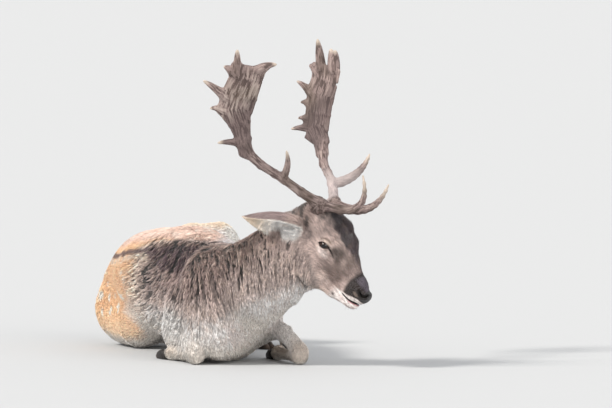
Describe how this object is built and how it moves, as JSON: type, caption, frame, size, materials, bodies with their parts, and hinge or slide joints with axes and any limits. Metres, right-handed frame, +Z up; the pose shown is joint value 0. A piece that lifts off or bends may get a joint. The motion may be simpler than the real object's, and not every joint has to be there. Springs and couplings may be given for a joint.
{
  "type": "fallow deer",
  "caption": "Life-size fallow buck lying at rest on the floor, neck turned to its left, with two palmate antlers, changing from spotted summer coat to grey winter coat.",
  "frame": {"origin": "where the middle of the chest rests on the floor", "axes": "+Z up, +Y from the chest back toward the rump, +X to the deer's left, the side its neck is turned to"},
  "size_m": [0.7946, 1.3712, 0.8453],
  "materials": {
    "coat": "short dense fur, grey-brown on the neck and back, tan with white spots on the haunch, pale below",
    "antler": "dry grooved antler bone, paler at the tips",
    "eye": "wet dark eye",
    "hoof": "dark smooth horn"
  },
  "bodies": {
    "root": {"antler_left_beam": "antler", "antler_left_brow_tine": "antler", "antler_left_palm": "antler", "antler_left_trez_tine": "antler", "antler_right_beam": "antler", "antler_right_brow_tine": "antler", "antler_right_palm": "antler", "antler_right_trez_tine": "antler", "cannon_fore_left": "coat", "cannon_fore_right": "coat", "cannon_hind_left": "coat", "cannon_hind_right": "coat", "ear_left": "coat", "ear_right": "coat", "eye_left": "eye", "eye_right": "eye", "head": "coat", "hoof_fore_left": "hoof", "hoof_fore_right": "hoof", "hoof_hind_left": "hoof", "hoof_hind_right": "hoof", "leg_fore_left": "coat", "leg_fore_right": "coat", "leg_hind_left": "coat", "leg_hind_right": "coat", "neck": "coat", "tail": "coat", "trunk": "coat"}
  },
  "joints": []
}
